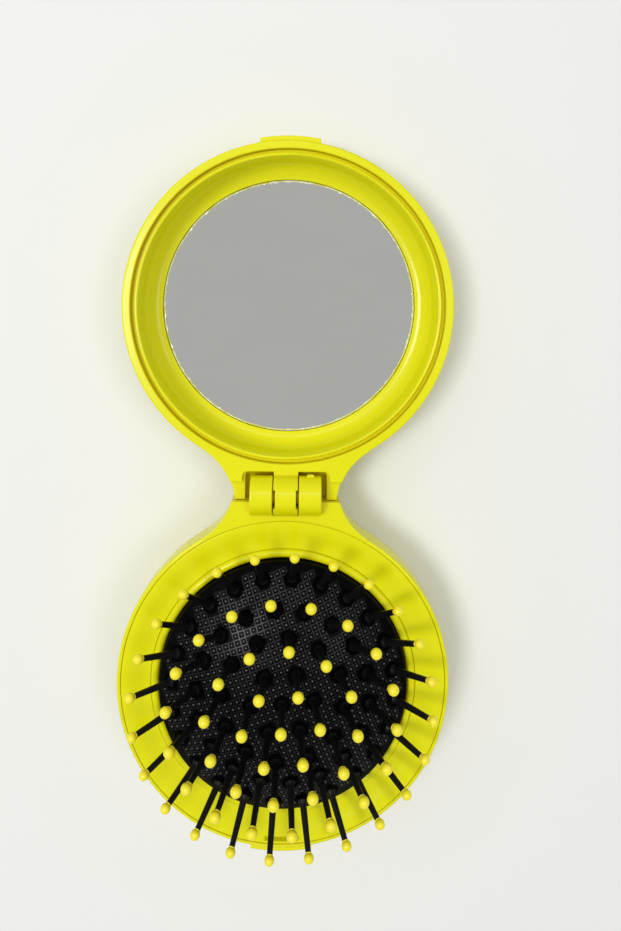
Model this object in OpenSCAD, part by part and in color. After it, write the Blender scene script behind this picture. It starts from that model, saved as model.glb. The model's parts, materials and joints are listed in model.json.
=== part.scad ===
// Folding pocket hair brush: a round clamshell with a mirror in the lid
// and a pop-up dome of ball-tipped pins in the base.
// It lies open and flat, lid towards +Y and base towards -Y. The hinge axis runs along X.

/* [Shell] */
// Radius of both round halves at the rim
rim_r = 30; // [28:0.5:34]
// Height of each half, from the table to its rim
half_h = 14; // [13.5:0.5:17]
// Radius of the rounded edge round the back of each half
edge_r = 9.5; // [8:0.5:9.5]
// Thickness of the moulded walls
wall = 1.5; // [1.2:0.1:1.8]
// Distance from the hinge axis to the round rims
hinge_reach = 4; // [3.9:0.1:5]
// Gap between the two rims when the brush is shut
parting_gap = 0.2; // [0.1:0.05:0.4]
// Rounding of the rim's outer edge
rim_round = 0.4; // [0.2:0.1:0.6]
// Width of the thumb lip on the front of each half
lip_w = 11; // [8:1:14]
// How far the thumb lip stands out
lip_out = 0.8; // [0.5:0.1:1.2]

/* [Hinge] */
// Radius of the hinge knuckles
knuckle_r = 3.5; // [3.2:0.1:3.7]
// Length of the lid's middle knuckle
mid_knuckle_l = 4.4; // [4:0.1:5]
// Length of each of the base's two knuckles
side_knuckle_l = 4; // [3.8:0.1:4.4]
// Radius of the steel hinge pin
pin_r = 0.8; // [0.6:0.05:1]
// Running clearance of the lid's knuckle on the pin
pin_clearance = 0.05; // [0.03:0.01:0.08]
// Gap beside each knuckle
knuckle_gap = 0.15; // [0.1:0.05:0.3]
// Width of the neck that carries the hinge
neck_w = 18.4; // [18:0.2:20]
// Radius of the sweep from the neck into the round rim
neck_sweep_r = 12; // [8:0.5:13]
// Thickness of the neck
neck_t = 5; // [4.9:0.1:5.2]
// Width of the slot in the lid's neck that the knuckles stand in
slot_w = 15.8; // [15.4:0.1:16.2]
// Gap between the slot's end and the knuckles
slot_gap = 0.7; // [0.5:0.1:0.9]
// How far the lid's ears reach past the hinge axis
ear_reach = 1.15; // [0.5:0.05:1.2]
// Rounding of the knuckles' ends
knuckle_round = 0.25; // [0.1:0.05:0.3]
// Radius of the washer bosses on the base's knuckles
boss_r = 1.55; // [1.3:0.05:1.8]
// Height of the washer bosses
boss_h = 0.4; // [0.3:0.05:0.5]

/* [Mirror] */
// Radius of the cove that rises from the mirror to the crest
cove_r = 3.05; // [2.9:0.05:4]
// Thickness of the mirror glass
mirror_t = 1.6; // [1.4:0.1:1.8]
// Bevel round the mirror's edge
mirror_bevel = 0.3; // [0.2:0.05:0.4]
// How far the glass stands proud of the cove's foot
glass_proud = 0.25; // [0.1:0.05:0.4]
// Thickness of the double-sided tape behind the mirror
tape_t = 0.3; // [0.2:0.05:0.4]
// Gap round the mirror in its tray
mirror_gap = 0.15; // [0.1:0.05:0.3]
// Thickness of the mirror tray
tray_t = 1.2; // [1:0.1:1.3]
// Gap between the mirror tray and the floor of the lid
tray_gap = 0.9; // [0.7:0.1:1]
// Width of the groove between the lid's rim and the tray
groove_w = 0.7; // [0.65:0.05:0.8]
// Depth of that groove
groove_d = 1.4; // [1.3:0.1:1.6]
// Width of the rounded crest inside the groove
crest_w = 0.6; // [0.5:0.05:0.7]

/* [Bristle pad] */
// Radius of the domed pad where it leaves its ring
pad_r = 22.3; // [21.9:0.1:22.6]
// Height of the popped-up dome above the base's rim
pad_rise = 6.8; // [5.5:0.1:7]
// Height of the pad's upright edge above the base's rim
pad_upstand = 0.9; // [0.6:0.1:1.2]
// Rounding of the pad's edge
pad_edge_r = 0.8; // [0.5:0.1:0.9]
// Depth of the pad's shelf below the base's rim
shelf_depth = 2.4; // [2.2:0.1:2.6]
// Thickness of the rubber
pad_t = 1.2; // [1:0.1:1.3]
// Width of the pad's clamped flange
flange_w = 1.7; // [1.5:0.1:2]
// Gap between the dome and the ring round it
pad_gap = 0.15; // [0.1:0.05:0.3]
// Width of the clamping ring
ring_w = 1.55; // [1.4:0.05:1.7]
// Thickness of the clamping ring
ring_t = 0.9; // [0.8:0.05:1]
// Radius of the opening under the base, where a thumb pushes the pad out
push_r = 19.6; // [18:0.1:20]

/* [Pins] */
// Length of each pin outside the pad, up to the middle of its ball
pin_len = 8.5; // [7.5:0.1:8.5]
// Radius of a pin's stem
stem_r = 0.6; // [0.5:0.05:0.7]
// Radius of the ball tips
ball_r = 0.95; // [0.85:0.05:1]
// Radius of the head that holds a pin behind the pad
head_r = 1.15; // [1:0.05:1.2]
// Thickness of that head
head_t = 0.7; // [0.5:0.05:0.8]
// Gap between the pad and a pin's head
head_gap = 0.45; // [0.4:0.05:0.5]
// Clearance of a stem in its hole in the pad
stem_clearance = 0.05; // [0.03:0.01:0.08]
// Radius of the smooth boss that each pin stands on
root_boss_r = 1.6; // [1.4:0.1:1.7]
// Height of that boss
root_boss_h = 0.2; // [0.1:0.05:0.3]
// Radius of the first ring of pins
first_ring_r = 5.4; // [5:0.1:6]
// Radius of the second ring of pins
second_ring_r = 10.7; // [10:0.1:11]
// Radius of the third ring of pins
third_ring_r = 15.1; // [14.5:0.1:15.5]
// Radius of the outer ring of pins
outer_ring_r = 19.8; // [19:0.1:20]
// Splay of the first ring's pins from upright, in degrees
first_splay = 6; // [0:1:10]
// Splay of the second ring's pins, in degrees
second_splay = 12; // [8:1:16]
// Splay of the third ring's pins, in degrees
third_splay = 28; // [22:1:32]
// Splay of the outer ring's pins, in degrees
outer_splay = 44; // [38:1:44]

/* [Hidden] */
$fn = 96;

shell_colour = [0.88, 0.90, 0.04];
rubber_colour = [0.03, 0.03, 0.035];
tip_colour = [0.95, 0.86, 0.08];
glass_colour = [0.72, 0.73, 0.74];

eps = 0.01;
big = 4 * rim_r;
centre_y = rim_r + hinge_reach;
axis_z = half_h + parting_gap / 2;
inner_r = rim_r - wall;

// The rim land of the base's bowl is thin, because the pad frame lies in a rebate behind it.
land_w = 0.7;
rebate_d = 1.8;
rebate_z = half_h - rebate_d;
skirt_t = 1.1;
skirt_d = 2.7;
fit_gap = 0.05;
lip_drop = 0.5;
lip_t = 1.9;

// The pad's flange lies on the frame's shelf, under the ring.
ring_in = pad_r + pad_gap;
ring_out = ring_in + ring_w;
shelf_w = 1;
shelf_in = pad_r - shelf_w;
shelf_z = half_h - shelf_depth;
ring_z = shelf_z + pad_t;
frame_t = 1.2;
valley_d = 0.9;
valley_z = half_h - valley_d;
valley_w = 0.8;
frame_land_w = 1.05;

// The dome is part of a sphere on an upright edge, with a round between the two.
dome_h = pad_rise - pad_upstand;
dome_R = (pad_r * pad_r + dome_h * dome_h) / (2 * dome_h);
dome_cz = half_h + pad_rise - dome_R;
round_x = pad_r - pad_edge_r;
round_z = dome_cz + sqrt(pow(dome_R - pad_edge_r, 2) - round_x * round_x);
round_end_x = round_x * dome_R / (dome_R - pad_edge_r);

// One row for each ring of pins: count, radius at the pad, splay from upright, first pin's angle.
RINGS = [
    [1, 0, 0, 0],
    [6, first_ring_r, first_splay, 5],
    [12, second_ring_r, second_splay, 25],
    [18, third_ring_r, third_splay, 16],
    [24, outer_ring_r, outer_splay, 11]
];

// The mirror tray stands on a low ring inside the lid's cover. A round cove joins its pocket to its crest.
tray_out = inner_r - fit_gap;
groove_in = inner_r - groove_w;
groove_z = half_h - groove_d;
crest_drop = 0.3;
crest_z = half_h - crest_drop;
crest_r = crest_w / 2;
crest_in = groove_in - crest_w;
mirror_r = crest_in - cove_r - mirror_gap;
pocket_r = mirror_r + mirror_gap;
tray_z = wall + tray_gap;
seat_z = tray_z + tray_t;
mirror_z = seat_z + tape_t;
cove_z = mirror_z + mirror_t - glass_proud + cove_r;
nest_gap = 0.25;
stand_r = 18;
stand_w = 1.2;

// The snap arc on the pad frame clicks into the groove of the lid.
snap_h = 1;
snap_gap = 0.15;
snap_w = groove_w - 2 * snap_gap;
snap_angle = 12;

// The hinge slot reaches a little way into the lid's wall.
slot_end = knuckle_r + slot_gap;
slot_corner_r = 1;
slot_ledge = 0.5;
ear_step_y = 2.3;
ear_step_d = 1;
ear_end_d = 1.25;
boss_clearance = 0.1;
recess_r = boss_r + boss_clearance;
sweep_x = neck_w / 2 + neck_sweep_r;
sweep_y = centre_y - sqrt(pow(rim_r + neck_sweep_r, 2) - sweep_x * sweep_x);
touch = rim_r / (rim_r + neck_sweep_r);
touch_x = sweep_x * touch;
touch_y = centre_y - (centre_y - sweep_y) * touch;

function dome_z(r) = dome_cz + sqrt(dome_R * dome_R - r * r);

// A round-edged bowl in section, from the axis out.
module bowl_section(r, edge, bottom) {
    intersection() {
        square([r, half_h]);
        union() {
            translate([0, edge + bottom]) square([r, half_h]);
            translate([0, bottom]) square([r - edge, edge + eps]);
            translate([r - edge, edge + bottom]) circle(r = edge);
        }
    }
}

// What is cut off a square corner at the rim to round it.
module corner_cut(x, z, r) {
    translate([x - r, z - r]) difference() {
        square([r + eps, r + eps]);
        circle(r = r);
    }
}

module outer_bowl() {
    rotate_extrude() difference() {
        bowl_section(rim_r, edge_r, 0);
        corner_cut(rim_r, half_h, rim_round);
    }
}

module inner_bowl() {
    rotate_extrude() bowl_section(inner_r, edge_r - wall, wall);
}

// The neck between the round rim and the hinge axis, seen from above, for the half at +Y.
module neck_outline(end_y) {
    intersection() {
        difference() {
            polygon([[-touch_x, touch_y], [-sweep_x, sweep_y], [sweep_x, sweep_y], [touch_x, touch_y]]);
            for (side = [-1, 1]) translate([side * sweep_x, sweep_y]) circle(r = neck_sweep_r);
        }
        translate([-big / 2, end_y]) square([big, big]);
    }
}

// One half of the clamshell: a bowl with its neck and thumb lip, at +Y, not yet hollow.
module half_body(end_y) {
    translate([0, centre_y, 0]) outer_bowl();
    translate([0, 0, half_h - neck_t]) linear_extrude(neck_t) neck_outline(end_y);
    intersection() {
        translate([0, centre_y, half_h - lip_drop - lip_t]) cylinder(r = rim_r + lip_out, h = lip_t);
        translate([-lip_w / 2, centre_y, 0]) cube([lip_w, big, half_h]);
    }
}

module along_x(r, from_x, to_x) {
    translate([from_x, 0, axis_z]) rotate([0, 90, 0]) cylinder(r = r, h = to_x - from_x);
}

// A hinge knuckle with softened ends.
module knuckle(from_x, to_x) {
    length = to_x - from_x;
    translate([from_x, 0, axis_z]) rotate([0, 90, 0]) rotate_extrude() union() {
        square([knuckle_r - knuckle_round, length]);
        translate([0, knuckle_round]) square([knuckle_r, length - 2 * knuckle_round]);
        for (z = [knuckle_round, length - knuckle_round])
            translate([knuckle_r - knuckle_round, z]) circle(r = knuckle_round);
    }
}

mid_half = mid_knuckle_l / 2;
side_start = mid_half + knuckle_gap;
side_end = side_start + side_knuckle_l;

// Lower half: bowl with the push opening, the rebate for the pad frame and two hinge knuckles.
module base_bowl() {
    color(shell_colour) difference() {
        union() {
            mirror([0, 1, 0]) half_body(ear_reach + knuckle_gap);
            for (side = [-1, 1]) {
                knuckle(side > 0 ? side_start : -side_end, side > 0 ? side_end : -side_start);
                along_x(boss_r, side > 0 ? side_start - boss_h : -side_start - eps,
                    side > 0 ? side_start + eps : -side_start + boss_h);
            }
        }
        translate([0, -centre_y, 0]) {
            inner_bowl();
            translate([0, 0, -1]) cylinder(r = push_r, h = half_h);
            translate([0, 0, rebate_z]) cylinder(r = rim_r - land_w, h = half_h);
        }
        along_x(pin_r, -side_end - 1, side_end + 1);
        difference() {
            along_x(knuckle_r + knuckle_gap + boss_clearance, -side_start, side_start);
            along_x(boss_r, -side_start - eps, -side_start + boss_h);
            along_x(boss_r, side_start - boss_h, side_start + eps);
        }
    }
}

// The ring-shaped deck of the base, with the shelf that the pad lies on and the snap arc.
module pad_frame() {
    frame_out = rim_r - land_w - fit_gap;
    shelf_out = ring_out + fit_gap;
    skirt_out = inner_r - fit_gap;
    color(shell_colour) translate([0, -centre_y, 0]) {
        rotate_extrude() polygon([
            [shelf_in, shelf_z - frame_t], [shelf_out + frame_t, shelf_z - frame_t],
            [skirt_out - skirt_t, rebate_z - 0.4], [skirt_out - skirt_t, rebate_z - skirt_d],
            [skirt_out, rebate_z - skirt_d], [skirt_out, rebate_z],
            [frame_out, rebate_z], [frame_out, half_h - 0.15], [frame_out - 0.15, half_h],
            [frame_out - frame_land_w, half_h], [frame_out - frame_land_w - 1.2, half_h - 0.35],
            [shelf_out + valley_w + 1, valley_z + 0.12], [shelf_out + valley_w, valley_z],
            [shelf_out, valley_z], [shelf_out, shelf_z], [shelf_in, shelf_z]
        ]);
        rotate([0, 0, -90 - snap_angle / 2]) rotate_extrude(angle = snap_angle)
            translate([groove_in + (groove_w - snap_w) / 2, half_h - 1]) square([snap_w, snap_h + 1]);
    }
}

// The round-topped ring that clamps the pad's flange onto the shelf.
module pad_ring() {
    half_w = ring_w / 2;
    color(shell_colour) translate([0, -centre_y, 0]) rotate_extrude() intersection() {
        translate([ring_in, ring_z]) square([ring_w, ring_t]);
        translate([ring_in + half_w, ring_z + ring_t - half_w]) union() {
            circle(r = half_w);
            translate([-half_w, -ring_t]) square([ring_w, ring_t]);
        }
    }
}

module hinge_pin() {
    color("silver") along_x(pin_r, -side_end, side_end);
}

// Puts a pin, pointing up from the pad's surface at the origin, at every place of one ring.
module on_ring(ring) {
    count = ring[0];
    for (i = [0 : count - 1])
        translate([0, -centre_y, 0]) rotate([0, 0, ring[3] + i * 360 / count])
            translate([ring[1], 0, dome_z(ring[1])]) rotate([0, ring[2], 0]) children();
}

// The smooth bosses of one ring, square to the dome's surface.
module root_bosses(ring) {
    on_ring([ring[0], ring[1], asin(ring[1] / dome_R), ring[3]])
        translate([0, 0, -pad_t / 2]) cylinder(r = root_boss_r, h = pad_t / 2 + root_boss_h, $fn = 32);
}

// The black rubber dome with its clamped flange and a hole for each pin.
module bristle_pad() {
    color(rubber_colour) difference() {
        union() {
            translate([0, -centre_y, 0]) rotate_extrude() difference() {
                union() {
                    intersection() {
                        translate([0, dome_cz]) circle(r = dome_R, $fn = 360);
                        translate([0, shelf_z]) square([round_end_x, big]);
                    }
                    translate([0, shelf_z]) square([pad_r, round_z - shelf_z]);
                    translate([round_x, round_z]) circle(r = pad_edge_r);
                    translate([0, shelf_z]) square([pad_r + flange_w, pad_t]);
                }
                intersection() {
                    translate([0, dome_cz]) circle(r = dome_R - pad_t, $fn = 360);
                    translate([-1, shelf_z - 1]) square([pad_r - pad_t + 1, big]);
                }
            }
            for (ring = RINGS) root_bosses(ring);
        }
        for (ring = RINGS) on_ring(ring)
            translate([0, 0, -3 * pad_t]) cylinder(r = stem_r + stem_clearance, h = 6 * pad_t, $fn = 24);
    }
}

// A moulded pin: a stem from its head behind the pad to the middle of its ball.
module brush_pin() {
    head_top = -pad_t - head_gap;
    translate([0, 0, head_top - head_t]) cylinder(r = head_r, h = head_t, $fn = 24);
    translate([0, 0, head_top - head_t / 2])
        cylinder(r = stem_r, h = pin_len - head_top + head_t / 2, $fn = 24);
}

// The ball that covers the end of a pin.
module ball_tip() {
    translate([0, 0, pin_len]) difference() {
        sphere(r = ball_r, $fn = 32);
        translate([0, 0, -2 * ball_r]) cylinder(r = stem_r, h = 2 * ball_r, $fn = 24);
    }
}

module pins(k) {
    color(rubber_colour) on_ring(RINGS[k]) brush_pin();
}

module tips(k) {
    color(tip_colour) on_ring(RINGS[k]) ball_tip();
}

// Seen from above: the slot in the lid's neck, round in its two inner corners.
module slot_outline(width) {
    inner_w = width - 2 * slot_corner_r;
    translate([-width / 2, -big]) square([width, big + slot_end - slot_corner_r]);
    translate([-inner_w / 2, -big]) square([inner_w, big + slot_end]);
    for (side = [-1, 1]) translate([side * inner_w / 2, slot_end - slot_corner_r]) circle(r = slot_corner_r);
}

// Upper half: the outer cover with a stand for the tray, two ears and the middle knuckle.
module lid_cover() {
    color(shell_colour) difference() {
        union() {
            difference() {
                half_body(-ear_reach);
                translate([0, 0, half_h - ear_step_d]) linear_extrude(big) slot_outline(slot_w);
                intersection() {
                    linear_extrude(big) slot_outline(slot_w - 2 * slot_ledge);
                    along_x(slot_end, -big / 2, big / 2);
                }
                translate([-big / 2, 0, 0]) rotate([90, 0, 90]) linear_extrude(big) polygon([
                    [ear_step_y, half_h + eps], [-big, half_h + eps], [-big, half_h - ear_end_d],
                    [-ear_reach, half_h - ear_end_d], [ear_step_y, half_h - ear_step_d]
                ]);
                translate([0, centre_y, 0]) inner_bowl();
            }
            translate([0, centre_y, wall - eps]) difference() {
                cylinder(r = stand_r + stand_w, h = tray_z - wall + eps);
                translate([0, 0, -1]) cylinder(r = stand_r, h = big);
            }
            knuckle(-mid_half, mid_half);
            translate([-mid_half, 0, axis_z - knuckle_r])
                cube([mid_knuckle_l, slot_end + 0.3, half_h - axis_z + knuckle_r]);
        }
        along_x(pin_r + pin_clearance, -big / 2, big / 2);
        for (side = [-1, 1]) {
            near = side_start - boss_h - boss_clearance;
            along_x(recess_r, side > 0 ? near : -mid_half - 1, side > 0 ? mid_half + 1 : -near);
            translate([side > 0 ? near : -mid_half - 1, -recess_r, axis_z])
                cube([mid_half + 1 - near, 2 * recess_r, big]);
        }
    }
}

// The dish that carries the mirror: a floor with a pocket, a cove and a rounded crest.
module mirror_tray() {
    color(shell_colour) translate([0, centre_y, 0]) rotate_extrude() difference() {
        union() {
            intersection() {
                bowl_section(inner_r - nest_gap, edge_r - wall - nest_gap, wall + nest_gap);
                union() {
                    translate([0, tray_z]) square([pocket_r + tray_t, cove_z - tray_z]);
                    intersection() {
                        translate([pocket_r, cove_z]) circle(r = cove_r + tray_t);
                        translate([pocket_r, tray_z]) square([big, cove_z - tray_z]);
                    }
                    translate([crest_in, cove_z - eps]) square([big, groove_z - cove_z + eps]);
                }
            }
            translate([crest_in, edge_r]) square([tray_out - crest_in, groove_z - edge_r]);
            translate([crest_in, groove_z - eps]) square([crest_w, crest_z - crest_r - groove_z + eps]);
            translate([crest_in + crest_r, crest_z - crest_r]) circle(r = crest_r);
        }
        translate([-1, seat_z]) square([pocket_r + 1, big]);
        translate([pocket_r, cove_z]) circle(r = cove_r);
        translate([-1, cove_z]) square([crest_in + 1, big]);
    }
}

module mirror_tape() {
    color("white") translate([0, centre_y, seat_z]) cylinder(r = mirror_r - 1.5, h = tape_t);
}

module mirror_glass() {
    top = mirror_r - mirror_bevel;
    color(glass_colour) translate([0, centre_y, mirror_z]) {
        cylinder(r = mirror_r, h = mirror_t - mirror_bevel);
        translate([0, 0, mirror_t - mirror_bevel]) cylinder(r1 = mirror_r, r2 = top, h = mirror_bevel);
    }
}

base_bowl();
pad_frame();
pad_ring();
hinge_pin();
bristle_pad();
pins(0);  // pin_centre
pins(1);  // pins_first
pins(2);  // pins_second
pins(3);  // pins_third
pins(4);  // pins_outer
tips(0);  // tip_centre
tips(1);  // tips_first
tips(2);  // tips_second
tips(3);  // tips_third
tips(4);  // tips_outer
lid_cover();
mirror_tray();
mirror_glass();  // mirror
mirror_tape();
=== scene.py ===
import json
import math
from collections import namedtuple

import bpy
from bpy.props import FloatProperty, FloatVectorProperty, IntProperty, PointerProperty
from mathutils import Matrix, Vector

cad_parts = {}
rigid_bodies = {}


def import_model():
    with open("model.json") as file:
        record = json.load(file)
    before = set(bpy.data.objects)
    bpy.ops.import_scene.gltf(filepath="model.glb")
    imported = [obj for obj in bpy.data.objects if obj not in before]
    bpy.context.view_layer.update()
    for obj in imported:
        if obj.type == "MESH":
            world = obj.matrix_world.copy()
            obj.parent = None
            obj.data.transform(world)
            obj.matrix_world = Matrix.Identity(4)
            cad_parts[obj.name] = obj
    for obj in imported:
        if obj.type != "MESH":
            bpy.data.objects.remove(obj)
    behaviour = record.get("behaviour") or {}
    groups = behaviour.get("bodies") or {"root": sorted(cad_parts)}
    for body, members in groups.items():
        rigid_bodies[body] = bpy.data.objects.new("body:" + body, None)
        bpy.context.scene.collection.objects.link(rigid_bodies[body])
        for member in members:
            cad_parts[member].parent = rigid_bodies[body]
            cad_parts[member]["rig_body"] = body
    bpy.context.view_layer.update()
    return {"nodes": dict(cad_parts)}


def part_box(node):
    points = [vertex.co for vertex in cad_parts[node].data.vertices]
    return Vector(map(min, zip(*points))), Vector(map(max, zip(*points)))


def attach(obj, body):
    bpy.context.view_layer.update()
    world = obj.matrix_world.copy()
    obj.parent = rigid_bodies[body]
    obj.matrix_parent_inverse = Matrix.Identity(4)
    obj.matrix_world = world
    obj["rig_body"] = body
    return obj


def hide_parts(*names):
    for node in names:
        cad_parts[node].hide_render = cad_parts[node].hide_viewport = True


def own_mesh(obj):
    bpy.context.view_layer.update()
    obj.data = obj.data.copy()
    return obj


bl_info = {
    "name": "Folding Pocket Brush",
    "version": (1, 0, 0),
    "blender": (4, 5, 0),
    "location": "View3D > Sidebar > Pocket Brush",
    "description": "Dresses a folding pocket brush: shells, mirror, rubber dome and tipped pins",
    "category": "Object",
}

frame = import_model()
MM = 0.001

# The frame's own sizes, in metres.
PAD_LOW, PAD_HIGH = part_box("bristle_pad")
DOME_PLACE = Vector(((PAD_LOW.x + PAD_HIGH.x) / 2, (PAD_LOW.y + PAD_HIGH.y) / 2, 0))
FLANGE_R = (PAD_HIGH.x - PAD_LOW.x) / 2
SHELF_Z = PAD_LOW.z
MIRROR_LOW, MIRROR_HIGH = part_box("mirror")
MIRROR_Y = (MIRROR_LOW.y + MIRROR_HIGH.y) / 2
MIRROR_R = (MIRROR_HIGH.x - MIRROR_LOW.x) / 2
PIN_LOW, PIN_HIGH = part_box("hinge_pin")
AXIS_Z = (PIN_LOW.z + PIN_HIGH.z) / 2

# Each ring of pins: radius at the dome in metres; splay from upright and first pin's angle in
# degrees.
Ring = namedtuple("Ring", "name count radius splay first")
RINGS = (
    Ring("centre", 1, 0.0, 0, 0),
    Ring("first", 6, 5.4 * MM, 6, 5),
    Ring("second", 12, 10.7 * MM, 12, 25),
    Ring("third", 18, 15.1 * MM, 28, 16),
    Ring("outer", 24, 19.8 * MM, 44, 11),
)

# The stub that the mould's gate left on the right knuckle.
GATE_PLACE = (4.45 * MM, 3.55 * MM, AXIS_Z + 0.35 * MM)
GATE_SIZE = (1.3 * MM, 0.5 * MM, 0.9 * MM)
GATE_TOP_INSET = 0.15 * MM
GATE_TOP_SHIFT = (0.08 * MM, 0.06 * MM, 0)
GATE_ROUNDING = 0.08 * MM

# The collar where a pin stands on the rubber: how far it stands out from the stem, and how high.
COLLAR = ((0, 0.1 * MM), (0.28 * MM, 0.18 * MM), (0.24 * MM, 0.32 * MM), (0.06 * MM, 0.55 * MM),
          (0, 0.9 * MM))
# The stem's taper: how far it is wider than its waist, and at what part of the pin's length.
TAPER = ((0.03 * MM, 0.6), (0, 0.85), (0, 1))
# The skirt under a ball: how far it is wider than the waist, and how many radii below the middle.
SKIRT = ((0.14 * MM, 0.90), (0.10 * MM, 0.98), (0.02 * MM, 1.0), (0, 0.6))
# The angle where a ball meets its skirt, in degrees below its middle.
BALL_END = -52

# Black finishes: roughness, specular level and how fine the moulded skin is.
BLACKS = {
    "dome_rubber": (0.34, 0.03, 700),
    "dome_lines": (0.32, 0.30, 1400),
    "dome_dots": (0.30, 0.75, 1400),
    "root_rubber": (0.55, 0.01, 900),
    "pin_nylon": (0.36, 0.2, 1600),
}

# Each lamp: place, aim, width and depth in metres, and the setting that holds its power. They stand
# outside the cone that the mirror shows to the camera.
LAMPS = (
    ("key_lamp", (-0.46, 0.36, 0.70), (0, 0, 0), 0.45, 0.45, "key"),
    ("sheen_lamp", (-0.325, 0.04, 0.80), (0, -0.03, 0), 0.22, 0.22, "sheen"),
    ("fill_lamp", (0.39, 0.04, 0.80), (0, -0.03, 0), 0.32, 0.30, "fill"),
    ("strip_lamp", (0, 0.37, 0.80), (0, 0, 0), 0.50, 0.12, "strip"),
)
SKY = (1, 1, 0.97, 1)

# The camera looks almost straight down, turned by these degrees about X, Y and Z.
CAMERA_X, CAMERA_Y = 2.05 * MM, 36.10 * MM
CAMERA_TURNS = (-0.38, -0.84, 0.81)
CAMERA_SHIFT = -0.178
CAMERA_SENSOR = 36
CAMERA_CLIP = 1 * MM
TABLE_WIDTH = 6
TABLE_DROP = 0.2 * MM


def size(name, text, default, low, high):
    """A length that a user may change, given here in millimetres."""
    return FloatProperty(name=name, description=text, default=default * MM, min=low * MM,
                         max=high * MM, unit="LENGTH", precision=5)


def turn(name, text, degrees):
    """An angle that a user may change, given here in degrees."""
    return FloatProperty(name=name, description=text, default=math.radians(degrees),
                         subtype="ANGLE")


def power(name, text, watts):
    """A lamp's power."""
    return FloatProperty(name=name, description=text, default=watts, min=0, max=100, unit="POWER")


def colour(name, text, default):
    """A colour that a user may change, as linear red, green and blue."""
    return FloatVectorProperty(name=name, description=text, default=default, min=0, max=1,
                               size=3, subtype="COLOR")


class BrushColours(bpy.types.PropertyGroup):
    shell: colour("Shell", "Lemon-lime plastic of both halves", (0.80, 0.785, 0.002))
    shell_flow: colour("Shell, flow", "The same plastic in its flow marks", (0.75, 0.74, 0.002))
    # Painted shade: the amber tone that an occlusion mask lays into the shells' corners.
    shell_painted_corner_shade: colour("Shell, crevices", "Amber glow in corners", (0.86, 0.62, 0.001))
    tip: colour("Ball tips", "Warmer yellow of the pins' balls", (0.94, 0.82, 0.024))
    # Painted shade where the balls meet their stems.
    tip_painted_stem_shade: colour("Ball tips, below", "The balls at their stems", (0.72, 0.52, 0.010))
    rubber: colour("Rubber", "Black of the dome", (0.0014, 0.0014, 0.0016))
    root: colour("Root discs", "Dull black round each pin's root", (0.0008, 0.0008, 0.0009))
    ridge: colour("Rubber ridges", "Black of the raised lines and dots", (0.0025, 0.0025, 0.003))
    pin: colour("Pins", "Black of the pins' stems", (0.003, 0.003, 0.0035))
    glass: colour("Mirror", "Silvering behind the glass", (0.90, 0.91, 0.88))
    chip: colour("Mirror chips", "Ground glass where the edge is chipped", (0.93, 0.95, 0.93))
    tape: colour("Tape", "Foam tape behind the mirror", (0.80, 0.80, 0.76))
    steel: colour("Steel", "Drawn wire of the hinge pin", (0.56, 0.57, 0.58))
    floor: colour("Table", "The table top", (0.84, 0.84, 0.83))


class DomeSizes(bpy.types.PropertyGroup):
    radius: size("Dome radius", "Radius of the dome at its foot", 22.3, 20, 23)
    top: size("Dome top", "Height of the dome's top over the table", 20.8, 19, 21)
    foot: size("Dome foot", "Height where the sphere meets the upright edge", 14.9, 14, 16)
    edge: size("Edge rounding", "Rounding between dome and upright edge", 0.8, 0.3, 1)
    wall: size("Rubber thickness", "Thickness of the rubber", 1.2, 0.8, 1.4)
    pitch: size("Grid pitch", "Distance between the dome's raised lines", 1.12, 0.8, 2)
    ridge: size("Line width", "Width of the raised lines", 0.17, 0.1, 0.4)
    line_rise: size("Line height", "Height of the raised lines", 0.1, 0.05, 0.3)
    dot: size("Dot radius", "Radius of the raised dots", 0.28, 0.1, 0.4)
    tilt: turn("Grid turn", "How far the grid is turned on the dome", 21)
    boss: size("Root boss radius", "Radius of the smooth disc round each pin", 1.45, 1, 2)
    boss_rise: size("Root boss height", "Height of that disc", 0.2, 0.1, 0.4)


class PinSizes(bpy.types.PropertyGroup):
    reach: size("Pin length", "From the dome to the middle of the ball", 8.5, 6, 8.5)
    stem: size("Stem radius", "Radius of a pin's stem", 0.6, 0.4, 0.6)
    waist: size("Waist radius", "Radius of a stem under its ball", 0.5, 0.3, 0.6)
    head: size("Head radius", "Radius of the head behind the dome", 1.15, 0.9, 1.2)
    ball: size("Ball radius", "Radius of the ball tips", 0.94, 0.8, 1)
    outer_ball: size("Outer ball radius", "Radius of the outer ring's ball tips", 0.85, 0.7, 1)
    sides: IntProperty(name="Sides", description="Faces round a pin", default=20, min=8, max=48)


class BrushStage(bpy.types.PropertyGroup):
    eye_height: size("Camera height", "Height of the lens over the table", 144, 50, 2000)
    lens: FloatProperty(name="Lens", description="Focal length in millimetres", default=27.95,
                        min=10, max=200, unit="CAMERA")
    daylight: FloatProperty(name="Daylight", description="Strength of the even light all round",
                            default=0.44, min=0, max=2)
    key: power("Key lamp", "Power of the lamp at the upper left, in watts", 0.6)
    sheen: power("Sheen lamp", "Power of the lamp that the dome shows, in watts", 2.8)
    fill: power("Fill lamp", "Power of the lamp at the right, in watts", 1.0)
    strip: power("Strip lamp", "Power of the lamp that the knuckles show, in watts", 0.8)


# Modelling by hand

def deselect():
    """Leaves edit mode and selects nothing."""
    if bpy.context.object and bpy.context.object.mode != "OBJECT":
        bpy.ops.object.mode_set(mode="OBJECT")
    bpy.ops.object.select_all(action="DESELECT")


def pick(*objects):
    """Selects just these objects, the first as the active one, and returns the first."""
    deselect()
    for obj in objects:
        obj.select_set(True)
    bpy.context.view_layer.objects.active = objects[0]
    return objects[0]


def into_mesh(obj):
    """Moves an object's place, turn and scale into its mesh."""
    pick(obj)
    bpy.ops.object.transform_apply(location=True, rotation=True, scale=True)
    return obj


def smooth(obj, degrees):
    """Shades smoothly, apart from edges sharper than an angle."""
    pick(obj)
    bpy.ops.object.shade_smooth_by_angle(angle=math.radians(degrees))


def remove(obj):
    pick(obj)
    bpy.ops.object.delete()


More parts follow.
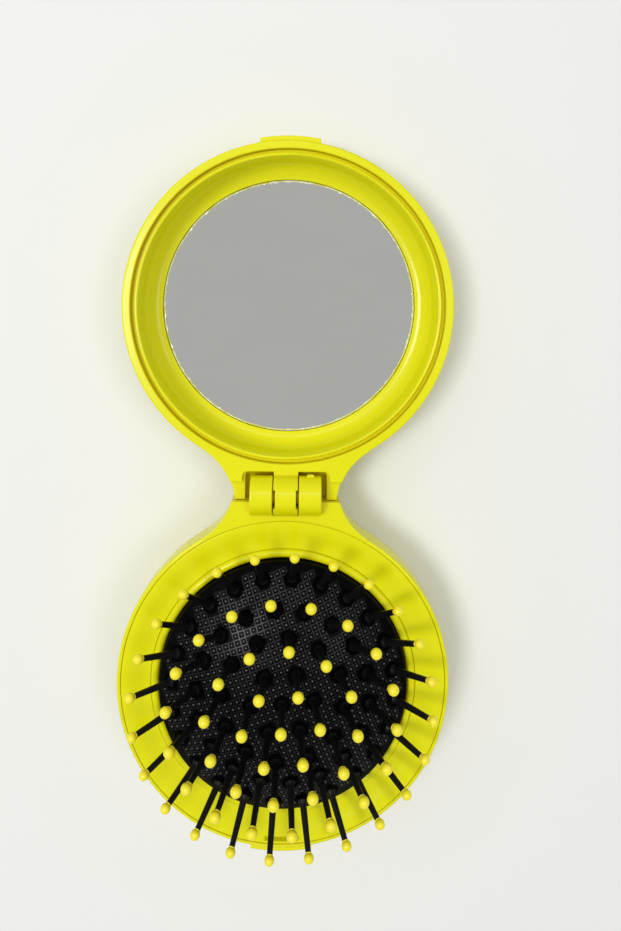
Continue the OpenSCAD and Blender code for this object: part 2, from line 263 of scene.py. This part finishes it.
def join_into(target, *others):
    """Joins the other objects into the first one."""
    pick(target, *others)
    if others:
        bpy.ops.object.join()
    return target


def choose_faces(obj, test):
    """Selects the faces whose middle and normal pass a test, and stays in edit mode."""
    bpy.ops.object.mode_set(mode="EDIT")
    bpy.ops.mesh.select_mode(type="FACE")
    bpy.ops.mesh.select_all(action="DESELECT")
    bpy.ops.object.mode_set(mode="OBJECT")
    for face in obj.data.polygons:
        face.select = bool(test(face.center, face.normal))
    bpy.ops.object.mode_set(mode="EDIT")


def turned(name, outline, sides):
    """A closed outline of (radius, height) points, drawn by extruding a point and spun round Z."""
    deselect()
    bpy.ops.mesh.primitive_plane_add(size=1 * MM, location=(0, 0, 0))
    obj = bpy.context.object
    obj.name = name
    bpy.ops.object.mode_set(mode="EDIT")
    bpy.ops.mesh.select_mode(type="VERT")
    bpy.ops.mesh.merge(type="CENTER")
    bpy.ops.transform.translate(value=(outline[0][0], 0, outline[0][1]))
    for (r0, z0), (r1, z1) in zip(outline, outline[1:]):
        bpy.ops.mesh.extrude_region_move(TRANSFORM_OT_translate={"value": (r1 - r0, 0, z1 - z0)})
    bpy.ops.mesh.select_all(action="SELECT")
    bpy.ops.mesh.spin(steps=sides, angle=math.tau, center=(0, 0, 0), axis=(0, 0, 1))
    bpy.ops.mesh.select_all(action="SELECT")
    bpy.ops.mesh.remove_doubles(threshold=1e-6)
    bpy.ops.mesh.normals_make_consistent(inside=False)
    bpy.ops.object.mode_set(mode="OBJECT")
    return obj


def arc(cx, cz, r, start, end, steps):
    """Points on an arc, angles in degrees from the X axis."""
    return [(cx + r * math.cos(math.radians(start + (end - start) * i / steps)),
             cz + r * math.sin(math.radians(start + (end - start) * i / steps)))
            for i in range(steps + 1)]


def copy_to(pattern, places, name):
    """Copies a pattern to every place and joins the copies into one piece."""
    copies = []
    for place in places:
        pick(pattern)
        bpy.ops.object.duplicate(linked=False)
        copy = bpy.context.object
        copy.matrix_world = place
        copies.append(copy)
    whole = join_into(*copies)
    whole.name = name
    return into_mesh(whole)


def scaled_at(height, factor):
    """Scales about a point at a height on the Z axis."""
    return (Matrix.Translation((0, 0, height)) @ Matrix.Scale(factor, 4)
            @ Matrix.Translation((0, 0, -height)))


class Dome:
    """The sphere that the dome's top is part of, and the rounding at its edge."""

    def __init__(self, sizes):
        rise = sizes.top - sizes.foot
        self.r = (sizes.radius ** 2 + rise ** 2) / (2 * rise)
        self.z = sizes.top - self.r
        self.round_x = sizes.radius - sizes.edge
        self.round_z = self.z + math.sqrt((self.r - sizes.edge) ** 2 - self.round_x ** 2)

    def height(self, radius):
        return self.z + math.sqrt(self.r ** 2 - radius ** 2)

    def places(self, ring, square=False):
        """Where the pins of a ring stand, along the pin or square to the rubber."""
        tilt = math.asin(ring.radius / self.r) if square else math.radians(ring.splay)
        for i in range(ring.count):
            yield (Matrix.Translation(DOME_PLACE)
                   @ Matrix.Rotation(math.radians(ring.first + i * 360 / ring.count), 4, "Z")
                   @ Matrix.Translation((ring.radius, 0, self.height(ring.radius)))
                   @ Matrix.Rotation(tilt, 4, "Y"))


# Materials

NUMBER, ARROW = "NodeSocketFloat", "NodeSocketVector"
MIX_FIRST, MIX_SECOND, MIX_RESULT = 6, 7, 2
FULL = (0, 1)
# The middle of a noise, where its patches change over.
PATCHY = (0.3, 0.7)


def shaded(tint, factor, lift=0.0):
    """A colour made darker or lighter."""
    return tuple(min(1, part * factor + lift) for part in tint)


class Nodes:
    """Short ways to build a tree of shader nodes."""

    def __init__(self, tree):
        self.tree = tree

    def put(self, socket, value):
        """Gives a socket another's output, a number, a vector or a plain colour."""
        if isinstance(value, bpy.types.NodeSocket):
            self.tree.links.new(value, socket)
        elif socket.type == "RGBA":
            socket.default_value = (*value, 1)
        else:
            socket.default_value = value

    def add(self, kind, inputs=None, **settings):
        """Adds a node with its settings, and gives its inputs their values."""
        node = self.tree.nodes.new(kind)
        for key, value in settings.items():
            setattr(node, key, value)
        for label, value in (inputs or {}).items():
            self.put(node.inputs[label], value)
        return node

    def maths(self, operation, first, second, clamp=False):
        return self.add("ShaderNodeMath", {0: first, 1: second}, operation=operation,
                        use_clamp=clamp).outputs[0]

    def mixed(self, factor, first, second):
        """A mix of two colours; each is a socket or a plain colour."""
        return self.add("ShaderNodeMix", {"Factor": factor, MIX_FIRST: first, MIX_SECOND: second},
                        data_type="RGBA").outputs[MIX_RESULT]

    def ranged(self, value, span, onto):
        """Stretches a span of values onto another one and holds them to it."""
        return self.add("ShaderNodeMapRange", {
            "Value": value, "From Min": span[0], "From Max": span[1], "To Min": onto[0],
            "To Max": onto[1]}).outputs["Result"]

    def noise(self, place, scale, detail=2.0, rough=0.5):
        return self.add("ShaderNodeTexNoise", {"Vector": place, "Scale": scale, "Detail": detail,
                                               "Roughness": rough}).outputs["Fac"]

    def stretched(self, place, turn_z, scale):
        """Object coordinates turned and stretched, for marks that run one way."""
        return self.add("ShaderNodeMapping", {"Vector": place, "Rotation": (0, 0, turn_z),
                                              "Scale": scale}).outputs[0]

    def bump(self, height, distance, strength):
        return self.add("ShaderNodeBump", {"Height": height, "Distance": distance,
                                           "Strength": strength})

    def group(self, name, **inputs):
        """The outputs of a node group, which is made when it is first asked for."""
        tree = bpy.data.node_groups.get(name) or GROUP_MAKERS[name]()
        return self.add("ShaderNodeGroup", inputs, node_tree=tree).outputs


class Group(Nodes):
    """A node group with named sockets: (name, kind, default) in, (name, kind) out."""

    def __init__(self, name, inputs, outputs):
        super().__init__(bpy.data.node_groups.new(name, "ShaderNodeTree"))
        for label, kind, default in inputs:
            socket = self.tree.interface.new_socket(name=label, in_out="INPUT", socket_type=kind)
            socket.default_value = default
        for label, kind in outputs:
            self.tree.interface.new_socket(name=label, in_out="OUTPUT", socket_type=kind)
        self.given = self.add("NodeGroupInput").outputs
        self.results = self.add("NodeGroupOutput").inputs

    def give(self, **results):
        """Joins the group's results and returns its tree."""
        for label, value in results.items():
            self.put(self.results[label], value)
        return self.tree


class Look(Nodes):
    """A material with one principled shader, laid out in object coordinates."""

    def __init__(self, name):
        self.material = bpy.data.materials.new(name)
        self.material.use_nodes = True
        super().__init__(self.material.node_tree)
        self.tree.nodes.clear()
        out = self.add("ShaderNodeOutputMaterial")
        self.shader = self.add("ShaderNodeBsdfPrincipled")
        self.put(out.inputs[0], self.shader.outputs[0])
        self.place = self.add("ShaderNodeTexCoord").outputs["Object"]

    def finish(self, inputs):
        """Gives the shader its inputs and returns the material."""
        for label, value in inputs.items():
            self.put(self.shader.inputs[label], value)
        return self.material


def corner_group():
    """Masks of the inner corners, where shade is painted, and of the outer edges, and a normal with
    softened edges.
    """
    group = Group("corners", (("Depth", NUMBER, 2 * MM), ("Edge", NUMBER, 0.3 * MM)),
                  (("Crevice", NUMBER), ("Edge", NUMBER), ("Normal", ARROW)))
    shade = group.add("ShaderNodeAmbientOcclusion", {"Distance": group.given["Depth"]}, samples=8)
    soft = group.add("ShaderNodeBevel", {"Radius": group.given["Edge"]}, samples=6).outputs[0]
    plain = group.add("ShaderNodeNewGeometry").outputs["Normal"]
    facing = group.add("ShaderNodeVectorMath", {0: soft, 1: plain}, operation="DOT_PRODUCT")
    bend = group.maths("SUBTRACT", 1.0, facing.outputs["Value"], clamp=True)
    return group.give(Crevice=group.maths("SUBTRACT", 1.0, shade.outputs["AO"], clamp=True),
                      Edge=group.ranged(bend, (0.02, 0.25), FULL), Normal=soft)


def scuff_group():
    """Fine hairline scratches that run several ways, thin and broken."""
    group = Group("scuffs", (("Place", ARROW, (0, 0, 0)), ("Amount", NUMBER, 0.5)),
                  (("Mask", NUMBER),))
    place = group.given["Place"]
    lines = []
    for angle, scale in ((0.4, 1.0), (1.5, 1.03), (2.5, 1.07)):
        line = group.noise(group.stretched(place, angle, (140, 2600, 600)), scale, detail=1.0)
        lines.append(group.ranged(line, (0.66, 0.72), FULL))
    total = lines[0]
    for line in lines[1:]:
        total = group.maths("MAXIMUM", total, line)
    broken = group.ranged(group.noise(place, 180, detail=2), (0.48, 0.62), FULL)
    mask = group.maths("MULTIPLY", total, broken)
    return group.give(Mask=group.maths("MULTIPLY", mask, group.given["Amount"]))


def grain_group():
    """The faint skin of a moulding: a height for a bump and a mask for its roughness."""
    group = Group("moulded_skin", (("Place", ARROW, (0, 0, 0)), ("Scale", NUMBER, 900.0)),
                  (("Height", NUMBER), ("Patch", NUMBER)))
    place = group.given["Place"]
    return group.give(Height=group.noise(place, group.given["Scale"], detail=3),
                      Patch=group.noise(place, 60, detail=3))


GROUP_MAKERS = {"corners": corner_group, "scuffs": scuff_group, "moulded_skin": grain_group}


def moulded(name, tints, roughness, glow, edge, scratches):
    """Glossy moulded plastic: slow flow marks, painted amber shade in corners, lighter outer edges,
    hairline scuffs and soft edges.
    """
    main, flow, painted_shade_tint = tints
    look = Look(name)
    corners = look.group("corners", Depth=2.2 * MM, Edge=edge)
    skin = look.group("moulded_skin", Place=look.place, Scale=900)
    scuffs = look.group("scuffs", Place=look.place, Amount=scratches)
    flowing = look.noise(look.stretched(look.place, 0.3, (1, 2.2, 1)), 34, detail=4)
    body = look.mixed(look.ranged(flowing, (0.35, 0.70), (0, 0.3)), main, flow)
    # Painted shade: the occlusion mask of the corners mixes in the amber tone, scaled by glow.
    body = look.mixed(look.maths("MULTIPLY", corners["Crevice"], glow, clamp=True), body, painted_shade_tint)
    # The outer edges are mixed a little lighter, by the edge mask.
    edge_lightening = look.maths("MULTIPLY", corners["Edge"], 0.35)
    body = look.mixed(edge_lightening, body, shaded(main, 1.08, 0.02))
    patch = look.ranged(skin["Patch"], PATCHY, (roughness - 0.03, roughness + 0.05))
    dents = look.bump(skin["Height"], distance=0.01 * MM, strength=0.35)
    look.put(dents.inputs["Normal"], corners["Normal"])
    return look.finish({
        "Base Color": body,
        "Roughness": look.maths("ADD", patch, look.maths("MULTIPLY", scuffs["Mask"], 0.25)),
        "Normal": dents.outputs[0],
        "Specular IOR Level": 0.3,
        "Subsurface Weight": 0.25,
        "Subsurface Radius": (1.0, 0.75, 0.05),
        "Subsurface Scale": 0.8 * MM,
    })


def black(name, main):
    """Rubber or nylon in one of the black finishes, a little lighter in dusty patches."""
    roughness, specular, fineness = BLACKS[name]
    look = Look(name)
    skin = look.group("moulded_skin", Place=look.place, Scale=fineness)
    dusty = look.ranged(skin["Patch"], (0.45, 0.75), (0, 0.6))
    return look.finish({
        "Base Color": look.mixed(dusty, main, shaded(main, 1.9, 0.0006)),
        "Roughness": look.ranged(skin["Patch"], PATCHY, (roughness - 0.05, roughness + 0.07)),
        "Normal": look.bump(skin["Height"], distance=0.01 * MM, strength=0.5).outputs[0],
        "Specular IOR Level": specular,
    })


def tip_material(paint):
    """Dipped balls: painted shade towards the stem, where the occlusion mask finds it, and a soft
    gloss.
    """
    look = Look("ball_tip_plastic")
    corners = look.group("corners", Depth=1.0 * MM, Edge=0.1 * MM)
    skin = look.group("moulded_skin", Place=look.place, Scale=1500)
    spread = look.ranged(look.noise(look.place, 260, detail=1), (0.35, 0.65), (0, 0.22))
    body = look.mixed(spread, paint.tip, shaded(paint.tip, 0.9))
    # Painted shade: the occlusion mask mixes the darker tone in where ball and stem meet.
    glow = look.maths("MULTIPLY", corners["Crevice"], 0.8, clamp=True)
    return look.finish({
        "Base Color": look.mixed(glow, body, paint.tip_painted_stem_shade),
        "Roughness": look.ranged(skin["Patch"], PATCHY, (0.22, 0.34)),
        "Normal": look.bump(skin["Height"], distance=0.008 * MM, strength=0.4).outputs[0],
    })


def mirror_material(paint):
    """Silvered glass with faint smears, and a chipped, bright ground edge."""
    look = Look("silvered_glass")
    centred = look.add("ShaderNodeMapping", {"Vector": look.place, "Location": (0, -MIRROR_Y, 0)})
    flat = look.add("ShaderNodeVectorMath", {0: centred.outputs[0], 1: (1, 1, 0)},
                    operation="MULTIPLY")
    radius = look.add("ShaderNodeVectorMath", {0: flat.outputs[0]}, operation="LENGTH")
    ragged = look.ranged(look.noise(look.place, 900, detail=4, rough=0.7), (0.42, 0.66),
                         (0, 0.24 * MM))
    edge = look.maths("SUBTRACT", MIRROR_R - 0.22 * MM, ragged)
    rim = look.maths("GREATER_THAN", radius.outputs["Value"], edge)
    broken = look.ranged(look.noise(look.place, 330, detail=2), (0.40, 0.52), (0.25, 1))
    chips = look.maths("MULTIPLY", rim, broken)
    smear = look.noise(look.stretched(look.place, 0.6, (1, 3, 1)), 55, detail=4)
    clean = look.mixed(look.ranged(smear, (0.45, 0.75), (0, 0.5)), paint.glass,
                       shaded(paint.glass, 0.965))
    haze = look.ranged(smear, (0.45, 0.8), (0.015, 0.05))
    grit = look.maths("MULTIPLY", look.noise(look.place, 2600, detail=2), chips)
    return look.finish({
        "Base Color": look.mixed(chips, clean, paint.chip),
        "Metallic": look.ranged(chips, FULL, (1, 0.25)),
        "Roughness": look.maths("ADD", haze, look.maths("MULTIPLY", chips, 0.4)),
        "Normal": look.bump(grit, distance=0.06 * MM, strength=0.8).outputs[0],
    })


def steel_material(paint):
    """Bright wire with the long, fine marks of drawing."""
    look = Look("drawn_wire")
    lines = look.noise(look.stretched(look.place, 0, (60, 2500, 2500)), 1.0, detail=3)
    return look.finish({
        "Base Color": look.mixed(lines, paint.steel, shaded(paint.steel, 0.75)),
        "Roughness": look.ranged(lines, PATCHY, (0.24, 0.42)),
        "Normal": look.bump(lines, distance=0.01 * MM, strength=0.5).outputs[0],
        "Metallic": 1,
    })


def tape_material(paint):
    """Matt foam with small cells, each painted darker in its pit as shade."""
    look = Look("foam_tape")
    cells = look.add("ShaderNodeTexVoronoi", {"Vector": look.place, "Scale": 3500})
    depth = cells.outputs["Distance"]
    return look.finish({
        # Painted shade: each cell is darker at its middle, where the bump is lowest.
        "Base Color": look.mixed(depth, shaded(paint.tape, 0.85), paint.tape),
        "Normal": look.bump(depth, distance=0.05 * MM, strength=0.6).outputs[0],
        "Roughness": 0.85,
    })


def table_material(paint):
    """A matt table top with a hardly visible speckle."""
    look = Look("table_top")
    speckle = look.ranged(look.noise(look.place, 90, detail=4), PATCHY, (0, 0.25))
    return look.finish({
        "Base Color": look.mixed(speckle, paint.floor, shaded(paint.floor, 0.985)),
        "Roughness": 0.75,
        "Specular IOR Level": 0.2,
    })


def put_on(material, obj):
    """Makes a material the only one on an object."""
    obj.data.materials.clear()
    obj.data.materials.append(material)


def polished(node_name, piece_name, material):
    """A copy of a CAD node with its loose triangles merged, so that its curves shade smoothly."""
    pick(frame["nodes"][node_name])
    bpy.ops.object.duplicate(linked=False)
    piece = bpy.context.object
    piece.name = piece_name
    body = piece["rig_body"]
    for key in [key for key in piece.keys() if key.startswith("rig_")]:
        del piece[key]
    bpy.ops.mesh.customdata_custom_splitnormals_clear()
    bpy.ops.object.mode_set(mode="EDIT")
    bpy.ops.mesh.select_all(action="SELECT")
    bpy.ops.mesh.remove_doubles(threshold=2e-6)
    bpy.ops.object.mode_set(mode="OBJECT")
    smooth(piece, 32)
    flat = piece.modifiers.new("flat faces stay flat", "WEIGHTED_NORMAL")
    flat.keep_sharp = True
    bpy.ops.object.modifier_apply(modifier=flat.name)
    put_on(material, piece)
    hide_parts(node_name)
    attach(piece, body)


# The steps

class BRUSH_OT_shells(bpy.types.Operator):
    """Finish the moulded shells, the deck, the ring and the mirror's tray"""
    bl_idname = "brush.shells"
    bl_label = "Moulded shells"

    def execute(self, context):
        paint = context.scene.brush_colours
        tints = (paint.shell, paint.shell_flow, paint.shell_painted_corner_shade)
        shell = moulded("shell_plastic", tints, roughness=0.22, glow=0.6, edge=0.25 * MM,
                        scratches=0.25)
        deck = moulded("deck_plastic", tints, roughness=0.20, glow=0.4, edge=0.15 * MM,
                       scratches=0.15)
        polished("base_bowl", "lower_half", shell)
        polished("lid_cover", "upper_half", shell)
        polished("pad_frame", "sloping_deck", deck)
        polished("pad_ring", "clamp_ring", deck)
        polished("mirror_tray", "mirror_dish", deck)
        return {"FINISHED"}


class BRUSH_OT_gate_mark(bpy.types.Operator):
    """Model the little moulding stub on the right knuckle"""
    bl_idname = "brush.gate_mark"
    bl_label = "Gate mark"

    def execute(self, context):
        deselect()
        bpy.ops.mesh.primitive_cube_add(size=1, location=GATE_PLACE, scale=GATE_SIZE)
        stub = into_mesh(bpy.context.object)
        stub.name = "gate_mark"
        choose_faces(stub, lambda middle, normal: normal.y > 0.9)
        bpy.ops.mesh.inset(thickness=GATE_TOP_INSET)
        bpy.ops.transform.translate(value=GATE_TOP_SHIFT)
        bpy.ops.mesh.select_all(action="SELECT")
        bpy.ops.mesh.bevel(offset=GATE_ROUNDING, segments=2)
        bpy.ops.object.mode_set(mode="OBJECT")
        smooth(stub, 40)
        stub.data.materials.append(bpy.data.objects["lower_half"].data.materials[0])
        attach(stub, "base")
        return {"FINISHED"}


class BRUSH_OT_dome(bpy.types.Operator):
    """Model the rubber dome with its raised grid, dots and smooth root discs"""
    bl_idname = "brush.dome"
    bl_label = "Rubber dome"

    def execute(self, context):
        sizes = context.scene.dome_sizes
        paint = context.scene.brush_colours
        dome = Dome(sizes)
        skin = self.skin(sizes, dome)
        skin.data.materials.append(black("dome_rubber", paint.rubber))
        lines, dots = self.texture(sizes, dome)
        lines.data.materials.append(black("dome_lines", paint.ridge))
        dots.data.materials.append(black("dome_dots", paint.ridge))
        discs = self.discs(sizes, dome)
        plain = black("root_rubber", paint.root)
        for disc in discs:
            disc.data.materials.append(plain)
        join_into(skin, lines, dots, *discs)
        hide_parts("bristle_pad")
        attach(skin, "base")
        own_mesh(skin)
        return {"FINISHED"}

    def skin(self, sizes, dome):
        """The rubber itself, as a section spun round: over the dome, round the flange and back."""
        fillet, chamfer = 0.3 * MM, 0.15 * MM
        flange_top = SHELF_Z + sizes.wall
        inner_r = dome.r - sizes.wall
        inner_x = sizes.radius - sizes.wall
        outer_end = math.degrees(math.acos(dome.round_x / (dome.r - sizes.edge)))
        inner_end = math.degrees(math.acos(inner_x / inner_r))
        outline = arc(0, dome.z, dome.r, 90, outer_end, steps=22)
        outline[0] = (0, sizes.top)
        outline += arc(dome.round_x, dome.round_z, sizes.edge, outer_end, 0, steps=6)[1:]
        outline += arc(sizes.radius + fillet, flange_top + fillet, fillet, 180, 270, steps=4)
        outline += [(FLANGE_R - chamfer, flange_top), (FLANGE_R, flange_top - chamfer),
                    (FLANGE_R, SHELF_Z + chamfer), (FLANGE_R - chamfer, SHELF_Z),
                    (inner_x + fillet, SHELF_Z), (inner_x, SHELF_Z + fillet)]
        outline += arc(0, dome.z, inner_r, inner_end, 90, steps=18)
        outline[-1] = (0, dome.z + inner_r)
        skin = turned("rubber_dome", outline, sides=120)
        skin.location = DOME_PLACE
        into_mesh(skin)
        smooth(skin, 40)
        return skin

    def texture(self, sizes, dome):
        """Raised lines in a square grid that follows the dome, and a dot in each square."""
        rim_gap, root_gap = 0.45 * MM, 0.12 * MM
        sunk = 0.02 * MM
        cells = 2 * math.ceil(sizes.radius / sizes.pitch)
        deselect()
        bpy.ops.mesh.primitive_grid_add(x_subdivisions=cells, y_subdivisions=cells,
                                        size=cells * sizes.pitch, location=(0, 0, 0),
                                        rotation=(0, 0, sizes.tilt))
        net = into_mesh(bpy.context.object)
        net.name = "dome_lines"
        roots = [place.translation - DOME_PLACE for ring in RINGS for place in dome.places(ring)]

        def outside(middle, normal):
            if middle.xy.length > dome.round_x - rim_gap:
                return True
            return any((middle.xy - root.xy).length < sizes.boss + root_gap for root in roots)
        choose_faces(net, outside)
        bpy.ops.mesh.delete(type="FACE")
        bpy.ops.object.mode_set(mode="OBJECT")
        for vertex in net.data.vertices:
            vertex.co.z = dome.height(min(vertex.co.xy.length, dome.round_x)) - sunk
        net.location = DOME_PLACE
        into_mesh(net)
        dots = self.dots(net, sizes)
        pick(net)
        bpy.ops.object.mode_set(mode="EDIT")
        bpy.ops.mesh.select_mode(type="FACE")
        bpy.ops.mesh.select_all(action="SELECT")
        bpy.ops.transform.translate(value=(0, 0, sizes.line_rise))
        bpy.ops.mesh.inset(thickness=sizes.ridge / 2, use_individual=True)
        bpy.ops.mesh.delete(type="FACE")
        bpy.ops.object.mode_set(mode="OBJECT")
        wall = net.modifiers.new("walls", "SOLIDIFY")
        wall.thickness = sizes.line_rise + 2 * sunk
        wall.offset = -1
        bpy.ops.object.modifier_apply(modifier=wall.name)
        smooth(net, 30)
        return net, dots

    def dots(self, net, sizes):
        """A low bead on every square of the net."""
        flatness = 0.45
        bpy.ops.mesh.primitive_uv_sphere_add(segments=8, ring_count=6, radius=sizes.dot)
        bead = bpy.context.object
        bpy.ops.object.mode_set(mode="EDIT")
        bpy.ops.mesh.select_all(action="SELECT")
        bpy.ops.mesh.bisect(plane_co=(0, 0, 0), plane_no=(0, 0, 1), clear_inner=True, use_fill=True)
        bpy.ops.mesh.select_all(action="SELECT")
        bpy.ops.transform.resize(value=(1, 1, flatness))
        bpy.ops.object.mode_set(mode="OBJECT")
        into_mesh(bead)
        smooth(bead, 60)
        bead.parent = net
        net.instance_type = "FACES"
        pick(net)
        bpy.ops.object.duplicates_make_real()
        beads = [obj for obj in bpy.context.selected_objects if obj not in (net, bead)]
        net.instance_type = "NONE"
        remove(bead)
        pick(*beads)
        bpy.ops.object.make_single_user(object=True, obdata=True)
        bpy.ops.object.join()
        whole = bpy.context.object
        whole.name = "dome_dots"
        whole.parent = None
        return into_mesh(whole)

    def discs(self, sizes, dome):
        """The smooth disc round each pin's root, its foot sunk into the rubber."""
        rise, reach, sunk = sizes.boss_rise, sizes.boss, 0.5 * MM
        outline = [(0, rise), (reach * 0.55, rise)]
        outline += arc(reach - rise, 0, rise, 90, 0, steps=4)
        outline += [(reach, -sunk), (0, -sunk)]
        made = []
        for ring in RINGS:
            pattern = turned("root_disc", outline, sides=28)
            smooth(pattern, 50)
            made.append(copy_to(pattern, dome.places(ring, square=True), "discs_" + ring.name))
            remove(pattern)
        return made


class BRUSH_OT_pins(bpy.types.Operator):
    """Model one tapered pin and one ball tip, and set them in every ring"""
    bl_idname = "brush.pins"
    bl_label = "Pins and ball tips"

    def execute(self, context):
        sizes = context.scene.pin_sizes
        dome_sizes = context.scene.dome_sizes
        paint = context.scene.brush_colours
        dome = Dome(dome_sizes)
        stem_finish = black("pin_nylon", paint.pin)
        ball_finish = tip_material(paint)
        stem = self.stem(sizes, dome_sizes.wall)
        stem.data.materials.append(stem_finish)
        ball = self.ball(sizes)
        ball.data.materials.append(ball_finish)
        for ring in RINGS:
            name = ring.name
            body = "centre_pin" if name == "centre" else name + "_ring"
            pins = copy_to(stem, dome.places(ring), "stems_" + name)
            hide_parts("pin_centre" if name == "centre" else "pins_" + name)
            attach(pins, body)
            fit = scaled_at(sizes.reach, sizes.outer_ball / sizes.ball if name == "outer" else 1)
            balls = copy_to(ball, [place @ fit for place in dome.places(ring)], "balls_" + name)
            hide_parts("tip_centre" if name == "centre" else "tips_" + name)
            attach(balls, body)
        remove(stem)
        remove(ball)
        return {"FINISHED"}

    def stem(self, sizes, rubber):
        """One pin standing on Z = 0: a head below the rubber, a collar, a taper and the tip."""
        gap, thickness = 0.45 * MM, 0.7 * MM
        low_round, top_round = 0.2 * MM, 0.15 * MM
        neck = 0.1 * MM
        head_top = -(rubber + gap)
        head_low = head_top - thickness
        outline = [(0, head_low), (sizes.head - low_round, head_low)]
        outline += arc(sizes.head - low_round, head_low + low_round, low_round, -90, 0, steps=3)[1:]
        outline += arc(sizes.head - top_round, head_top - top_round, top_round, 0, 90, steps=3)
        outline += [(sizes.stem, head_top + neck)]
        outline += [(sizes.stem + out, up) for out, up in COLLAR]
        outline += [(sizes.waist + out, sizes.reach * part) for out, part in TAPER]
        outline += [(0, sizes.reach)]
        stem = turned("pin_pattern", outline, sizes.sides)
        smooth(stem, 45)
        return stem

    def ball(self, sizes):
        """One ball at the pin's end, with a short skirt down to the stem's waist."""
        r, middle = sizes.ball, sizes.reach
        outline = [(0, middle + r)] + arc(0, middle, r, 90, BALL_END, steps=13)[1:]
        outline += [(sizes.waist + out, middle - radii * r) for out, radii in SKIRT]
        outline += [(0, outline[-1][1])]
        ball = turned("ball_pattern", outline, sizes.sides + 4)
        smooth(ball, 50)
        return ball


class BRUSH_OT_mirror(bpy.types.Operator):
    """Finish the mirror, its tape and the hinge's wire"""
    bl_idname = "brush.mirror"
    bl_label = "Mirror, tape and hinge wire"

    def execute(self, context):
        paint = context.scene.brush_colours
        put_on(mirror_material(paint), frame["nodes"]["mirror"])
        put_on(tape_material(paint), frame["nodes"]["mirror_tape"])
        put_on(steel_material(paint), frame["nodes"]["hinge_pin"])
        return {"FINISHED"}


class BRUSH_OT_stage(bpy.types.Operator):
    """Lay the table, hang the lamps and set up the camera"""
    bl_idname = "brush.stage"
    bl_label = "Table, lamps and camera"

    def execute(self, context):
        scene = context.scene
        stage = scene.brush_stage
        deselect()
        bpy.ops.mesh.primitive_plane_add(size=TABLE_WIDTH, location=(0, 0, -TABLE_DROP))
        floor = context.object
        floor.name = "table_top"
        floor.data.materials.append(table_material(scene.brush_colours))
        for name, place, aim, width, depth, setting in LAMPS:
            bpy.ops.object.light_add(type="AREA", location=place)
            light = context.object
            light.name = name
            light.data.shape = "RECTANGLE"
            light.data.size = width
            light.data.size_y = depth
            light.data.energy = getattr(stage, setting)
            light.rotation_euler = (Vector(aim) - Vector(place)).to_track_quat("-Z", "Y").to_euler()

        world = bpy.data.worlds.new("studio")
        scene.world = world
        world.use_nodes = True
        background = world.node_tree.nodes["Background"]
        background.inputs["Color"].default_value = SKY
        background.inputs["Strength"].default_value = stage.daylight

        bpy.ops.object.camera_add(location=(CAMERA_X, CAMERA_Y, stage.eye_height))
        camera = context.object
        about_x, about_y, about_z = (Matrix.Rotation(math.radians(degrees), 3, axis)
                                     for degrees, axis in zip(CAMERA_TURNS, "XYZ"))
        camera.rotation_euler = (about_x @ about_y @ about_z).to_euler()
        camera.data.lens = stage.lens
        camera.data.sensor_width = CAMERA_SENSOR
        camera.data.shift_y = CAMERA_SHIFT
        camera.data.clip_start = CAMERA_CLIP
        scene.camera = camera
        scene.view_settings.view_transform = "Standard"
        return {"FINISHED"}


class BRUSH_PT_panel(bpy.types.Panel):
    """The steps that dress the brush"""
    bl_label = "Pocket Brush"
    bl_idname = "BRUSH_PT_panel"
    bl_space_type = "VIEW_3D"
    bl_region_type = "UI"
    bl_category = "Pocket Brush"

    def draw(self, context):
        for step in STEPS:
            self.layout.operator(step.bl_idname)


STEPS = (BRUSH_OT_shells, BRUSH_OT_gate_mark, BRUSH_OT_dome, BRUSH_OT_pins, BRUSH_OT_mirror,
         BRUSH_OT_stage)
SETTINGS = (("brush_colours", BrushColours), ("dome_sizes", DomeSizes), ("pin_sizes", PinSizes),
            ("brush_stage", BrushStage))


def register():
    for name, group in SETTINGS:
        bpy.utils.register_class(group)
        setattr(bpy.types.Scene, name, PointerProperty(type=group))
    for cls in STEPS + (BRUSH_PT_panel,):
        bpy.utils.register_class(cls)


def unregister():
    for cls in reversed(STEPS + (BRUSH_PT_panel,)):
        bpy.utils.unregister_class(cls)
    for name, group in reversed(SETTINGS):
        delattr(bpy.types.Scene, name)
        bpy.utils.unregister_class(group)


def main():
    register()
    for step in STEPS:
        group, name = step.bl_idname.split(".")
        getattr(getattr(bpy.ops, group), name)()
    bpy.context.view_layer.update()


if __name__ == "__main__":
    main()
